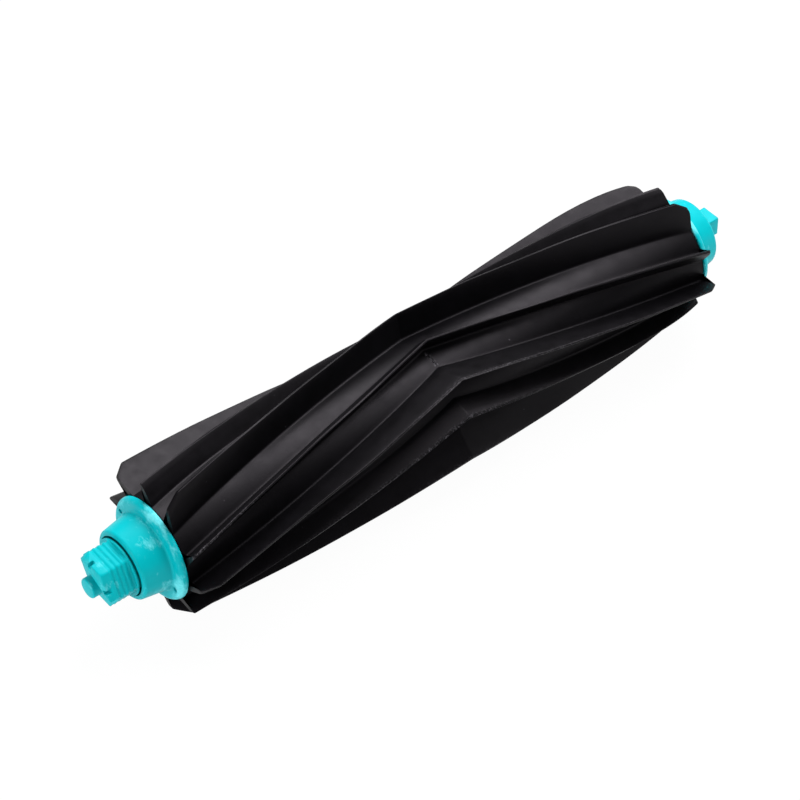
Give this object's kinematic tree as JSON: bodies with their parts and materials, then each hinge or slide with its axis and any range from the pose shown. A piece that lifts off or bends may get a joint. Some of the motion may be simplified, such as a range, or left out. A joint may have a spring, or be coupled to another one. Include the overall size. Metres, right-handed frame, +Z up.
{
  "type": "robot vacuum roller brush",
  "caption": "Rubber roller with V-shaped tall and short fins on a stiff core, flanged end caps, a square drive at one end and a free-turning ribbed bearing block at the other.",
  "frame": {"origin": "on the turning axis, half way along the rubber fins", "axes": "+X along the turning axis towards the square drive, -X towards the bearing block, +Z up with the roller lying on its fins"},
  "size_m": [0.1989, 0.0426, 0.0421],
  "materials": {
    "black_rubber": "satin moulded rubber",
    "core_plastic": "plain moulded",
    "teal_plastic": "moulded, lightly scuffed",
    "bearing_steel": "ground",
    "ball_steel": "polished",
    "spring_steel": "spring temper",
    "cage_nylon": "natural nylon",
    "grey_felt": "pressed felt"
  },
  "bodies": {
    "roller": {"fin_sleeve": "black_rubber", "core_tube": "core_plastic", "idle_cap": "teal_plastic", "drive_cap": "teal_plastic", "bearing_outer_ring": "bearing_steel", "outboard_shield": "bearing_steel", "inboard_shield": "bearing_steel", "snap_ring": "spring_steel", "dust_seal": "grey_felt"},
    "ball_train": {"bearing_ball_1": "ball_steel", "bearing_ball_2": "ball_steel", "bearing_ball_3": "ball_steel", "bearing_ball_4": "ball_steel", "bearing_ball_5": "ball_steel", "bearing_ball_6": "ball_steel", "bearing_ball_7": "ball_steel", "bearing_cage": "cage_nylon"},
    "end_block": {"bearing_block": "teal_plastic", "axle_pin": "bearing_steel", "spacer_sleeve": "bearing_steel", "bearing_inner_ring": "bearing_steel", "pin_clip": "spring_steel"}
  },
  "joints": [
    {"name": "block_spin", "type": "hinge", "parent": "roller", "child": "end_block", "pos_m": [-0.0853, 0, 0], "axis": [1, 0, 0], "continuous": true},
    {"name": "ball_spin", "type": "hinge", "parent": "roller", "child": "ball_train", "pos_m": [-0.0853, 0, 0], "axis": [1, 0, 0], "continuous": true}
  ],
  "couplings": [
    {"joint": "ball_spin", "follows": "block_spin", "ratio": 0.3625}
  ]
}
